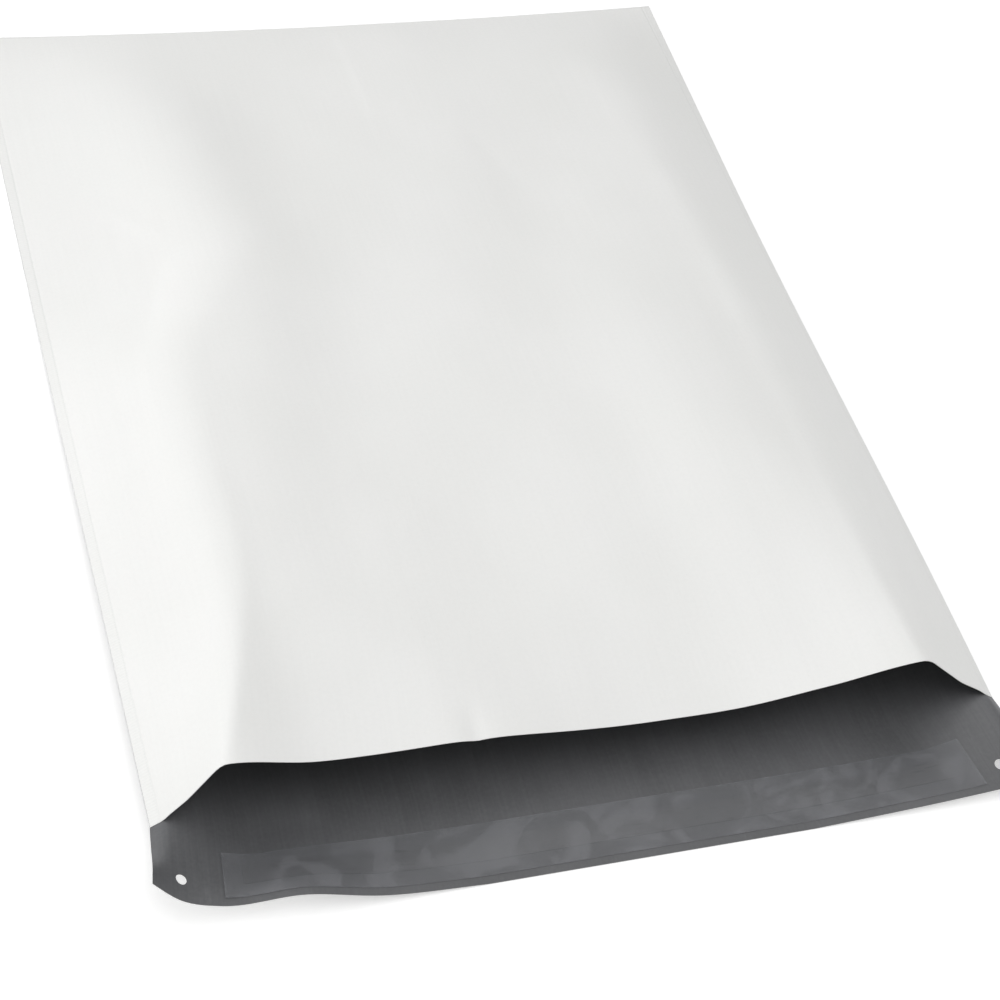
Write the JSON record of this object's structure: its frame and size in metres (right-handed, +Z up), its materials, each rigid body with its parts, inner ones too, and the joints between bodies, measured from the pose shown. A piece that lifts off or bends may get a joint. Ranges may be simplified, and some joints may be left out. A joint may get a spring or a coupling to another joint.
{
  "type": "poly mailer",
  "caption": "Open poly mailer lying flat: white film outside, dark inside, side-welded, with a self-seal lip beyond the propped mouth.",
  "frame": {"origin": "centre of the rectangle that the mailer covers, on the surface that it lies on", "axes": "+X across the mailer, +Y from the lip to the closed end, +Z up"},
  "size_m": [0.4826, 0.6604, 0.0599],
  "materials": {
    "film": "smooth white film, dark grey on its inner face",
    "adhesive": "clear pressure-sensitive adhesive",
    "liner": "clear release film"
  },
  "bodies": {
    "root": {"mailer_film": "film", "adhesive_strip": "adhesive", "release_liner": "liner"}
  },
  "joints": []
}
